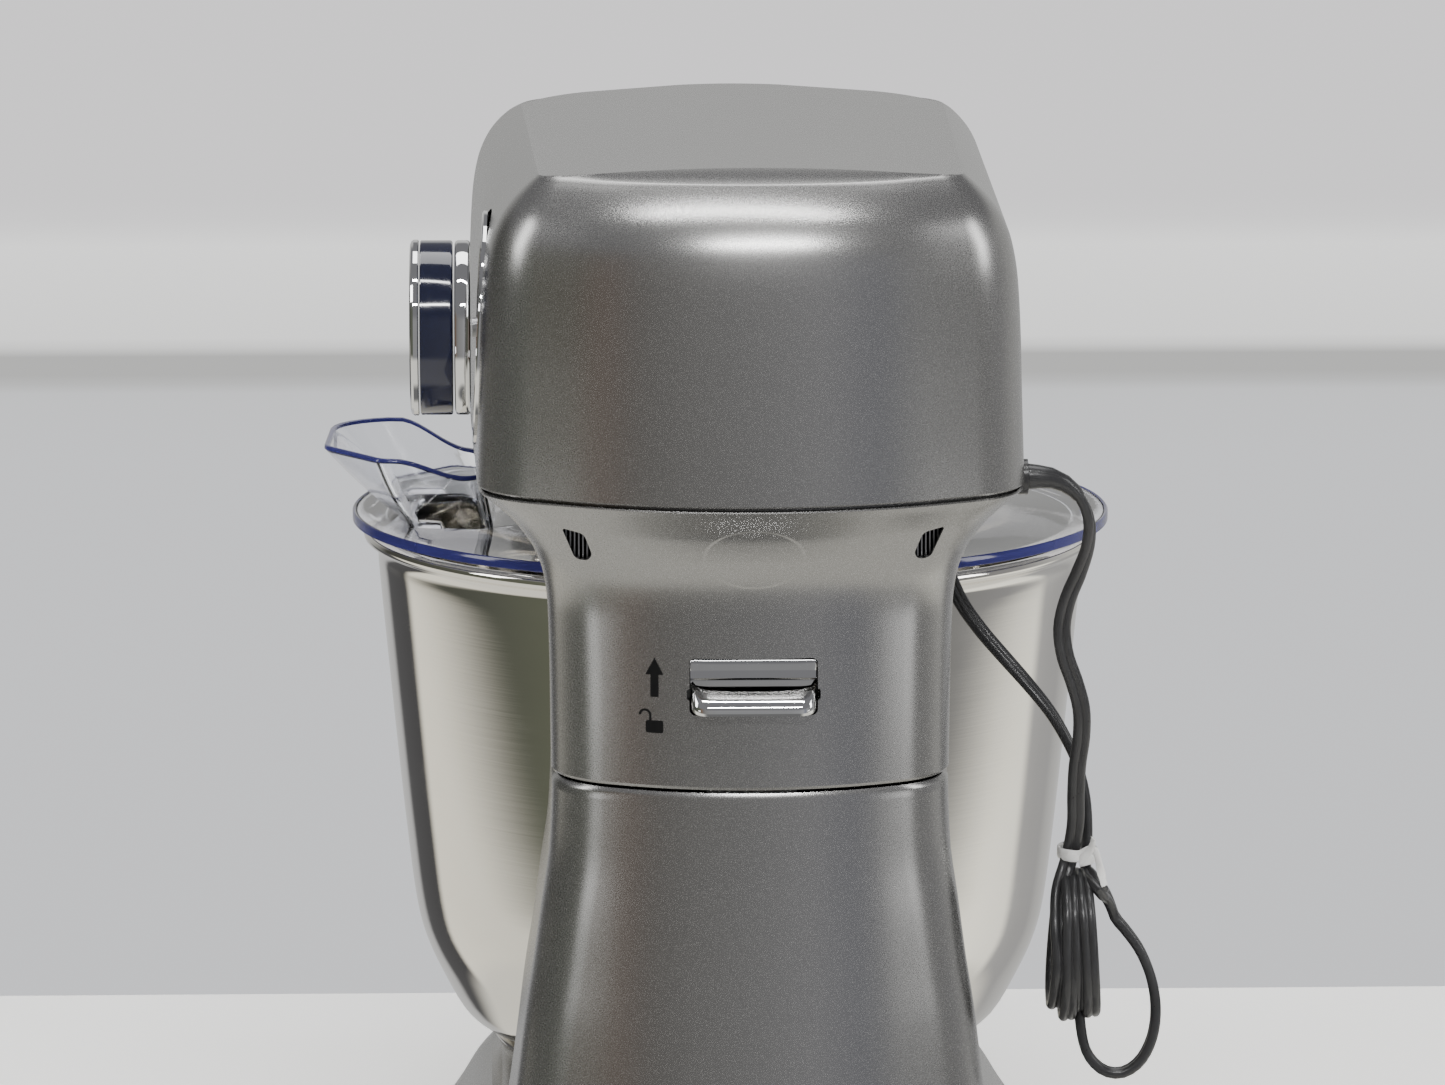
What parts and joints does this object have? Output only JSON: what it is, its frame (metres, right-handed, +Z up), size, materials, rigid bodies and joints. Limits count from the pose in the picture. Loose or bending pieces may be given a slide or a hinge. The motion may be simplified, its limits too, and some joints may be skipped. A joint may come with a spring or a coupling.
{
  "type": "stand mixer",
  "caption": "Tilt-head stand mixer: painted head on a column and base, steel bowl, clear splash guard with chute, side speed knob, flat beater and mains lead.",
  "frame": {"origin": "centre of the mixer's box, without the cord, at the surface it stands on", "axes": "+Z up, bowl end towards -Y, column and release lever towards +Y, speed knob and pouring chute on +X"},
  "size_m": [0.2605, 0.3826, 0.3535],
  "materials": {
    "paint": "metallic grey paint",
    "black_plastic": "matt",
    "rubber": "matt",
    "machined_steel": "machined",
    "cast_aluminium": "as cast, satin",
    "polished_steel": "mirror polished stainless steel",
    "copper": "enamelled copper winding",
    "chrome": "bright plating",
    "navy_gloss": "high gloss",
    "circuit_board": "solder mask",
    "clear_guard": "clear moulded plastic",
    "nylon": "natural nylon",
    "cord_pvc": "satin PVC",
    "tie": "clear coated wire tie"
  },
  "bodies": {
    "stand": {"stand_housing": "paint", "base_cover": "black_plastic", "foot_front_left": "rubber", "foot_front_right": "rubber", "foot_rear_left": "rubber", "foot_rear_right": "rubber", "base_screw_1": "machined_steel", "base_screw_2": "machined_steel", "base_screw_3": "machined_steel", "base_screw_4": "machined_steel", "bowl_seat": "cast_aluminium", "hinge_bracket": "cast_aluminium", "hinge_pin": "machined_steel"},
    "bowl": {"bowl": "polished_steel", "bowl_foot": "polished_steel"},
    "head": {"neck_shell": "paint", "head_cover": "paint", "chassis": "cast_aluminium", "motor_stator": "machined_steel", "field_coil_front": "copper", "field_coil_rear": "copper", "carbon_brush_upper": "black_plastic", "carbon_brush_lower": "black_plastic", "motor_bearing_front": "machined_steel", "motor_bearing_rear": "machined_steel", "drive_bearing": "machined_steel", "ring_gear": "cast_aluminium", "knob_plate": "chrome", "speed_switch": "black_plastic", "control_board": "circuit_board", "lever_pin": "machined_steel", "lever_spring": "machined_steel", "splash_guard": "clear_guard", "cord_gland": "rubber", "cord_lead": "cord_pvc", "cord_loop": "cord_pvc", "cord_tail": "cord_pvc", "cord_hank": "cord_pvc", "cord_tie": "tie", "plug_body": "cord_pvc", "plug_pin_1": "machined_steel", "plug_pin_2": "machined_steel"},
    "knob": {"knob_skirt": "chrome", "knob_band": "navy_gloss", "knob_cap": "chrome", "knob_shaft": "machined_steel"},
    "lever": {"release_lever": "chrome"},
    "latch": {"latch_bar": "machined_steel"},
    "rotor": {"armature": "copper", "cooling_fan": "nylon", "worm": "machined_steel"},
    "carrier": {"planet_carrier": "cast_aluminium", "worm_wheel": "nylon"},
    "beater": {"planet_gear": "machined_steel", "beater_shaft": "machined_steel", "flat_beater": "cast_aluminium"}
  },
  "joints": [
    {"name": "head_tilt", "type": "hinge", "parent": "stand", "child": "head", "pos_m": [0, 0.16, 0.156], "axis": [-1, 0, 0], "range_deg": [0, 36]},
    {"name": "bowl_turn", "type": "hinge", "parent": "stand", "child": "bowl", "pos_m": [0, -0.067, 0.035], "axis": [0, 0, 1], "range_deg": [0, 25]},
    {"name": "speed_knob", "type": "hinge", "parent": "head", "child": "knob", "pos_m": [0.085, 0.099, 0.298], "axis": [1, 0, 0], "range_deg": [-30, 180]},
    {"name": "release_lever", "type": "hinge", "parent": "head", "child": "lever", "pos_m": [0, 0.1638, 0.205], "axis": [1, 0, 0], "range_deg": [0, 22], "stiffness_Nm_per_rad": 0.08},
    {"name": "latch_slide", "type": "slide", "parent": "head", "child": "latch", "axis": [0, -1, 0], "range_m": [0, 0.005]},
    {"name": "planetary_spin", "type": "hinge", "parent": "head", "child": "carrier", "pos_m": [0, -0.067, 0.23], "axis": [0, 0, 1], "continuous": true},
    {"name": "beater_spin", "type": "hinge", "parent": "carrier", "child": "beater", "pos_m": [0.028, -0.067, 0.2], "axis": [0, 0, 1], "continuous": true},
    {"name": "motor_spin", "type": "hinge", "parent": "head", "child": "rotor", "pos_m": [0.0286, 0.098, 0.302], "axis": [0, 1, 0], "continuous": true}
  ],
  "couplings": [
    {"joint": "latch_slide", "follows": "release_lever", "m_per_rad": 0.013},
    {"joint": "beater_spin", "follows": "planetary_spin", "ratio": -3},
    {"joint": "motor_spin", "follows": "planetary_spin", "ratio": 12}
  ]
}
